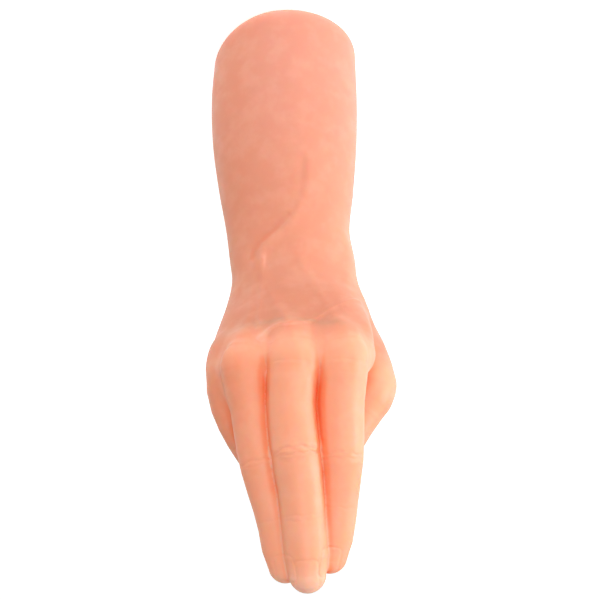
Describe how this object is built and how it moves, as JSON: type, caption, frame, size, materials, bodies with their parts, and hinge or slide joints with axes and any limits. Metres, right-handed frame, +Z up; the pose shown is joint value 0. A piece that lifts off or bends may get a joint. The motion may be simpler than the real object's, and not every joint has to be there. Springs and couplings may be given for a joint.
{
  "type": "passive prosthetic hand and forearm",
  "caption": "Right-side cosmetic prosthetic hand and forearm with a soft skin, a friction wrist, a sprung finger bar and a friction thumb.",
  "frame": {"origin": "centre of the mounting face at the closed end of the forearm, on the axis of the threaded socket", "axes": "+Z up the forearm to the fingertips, -Y the back of the hand, -X the thumb's side"},
  "size_m": [0.0978, 0.0757, 0.3267],
  "materials": {
    "skin": "satin flesh-coloured soft skin",
    "foam": "matt cream open foam",
    "plate_alloy": "satin machined",
    "tube_alloy": "satin anodised tube",
    "screw_steel": "dark socket screws",
    "shaft_steel": "ground steel",
    "spring_steel": "bright spring wire and clips",
    "bush_plastic": "white acetal",
    "brass": "plain bearing metal",
    "core_plastic": "dark nylon"
  },
  "bodies": {
    "forearm": {"forearm_skin": "skin", "forearm_foam": "foam", "mounting_plate": "plate_alloy", "mounting_screws": "screw_steel", "anchor_ring": "bush_plastic", "forearm_tube": "tube_alloy", "tube_grub_screws": "screw_steel", "wrist_housing": "plate_alloy", "wrist_bush": "bush_plastic", "friction_pad": "bush_plastic", "friction_screw": "screw_steel", "thrust_washer": "bush_plastic"},
    "hand": {"wrist_shaft": "shaft_steel", "wrist_disc_springs": "spring_steel", "wrist_lock_nut": "shaft_steel", "hand_frame": "plate_alloy", "frame_screws": "screw_steel", "finger_axle": "shaft_steel", "axle_clips": "spring_steel", "spring_pin": "shaft_steel", "return_spring": "spring_steel", "thumb_bracket": "shaft_steel", "bracket_screws": "screw_steel", "thumb_pin": "shaft_steel", "thumb_pin_clips": "spring_steel", "thumb_friction_washers": "brass", "palm_foam": "foam", "palm_skin": "skin"},
    "fingers": {"finger_bar": "plate_alloy", "hub_bushes": "brass", "finger_core_screws": "screw_steel", "index_core": "core_plastic", "middle_core": "core_plastic", "ring_core": "core_plastic", "little_core": "core_plastic", "finger_foam": "foam", "finger_skin": "skin"},
    "thumb": {"thumb_core": "core_plastic", "thumb_foam": "foam", "thumb_skin": "skin"}
  },
  "joints": [
    {"name": "wrist_rotation", "type": "hinge", "parent": "forearm", "child": "hand", "pos_m": [0, 0, 0.165], "axis": [0, 0, 1], "range_deg": [-60, 60]},
    {"name": "finger_opening", "type": "hinge", "parent": "hand", "child": "fingers", "pos_m": [0, -0.033, 0.219], "axis": [1, 0, 0], "range_deg": [0, 30], "stiffness_Nm_per_rad": 0.6, "springref_deg": -34.38, "deforming": ["return_spring"]},
    {"name": "thumb_swing", "type": "hinge", "parent": "hand", "child": "thumb", "pos_m": [-0.04, 0.007, 0.224], "axis": [-0.5, -0.866, 0], "range_deg": [0, 45]}
  ]
}
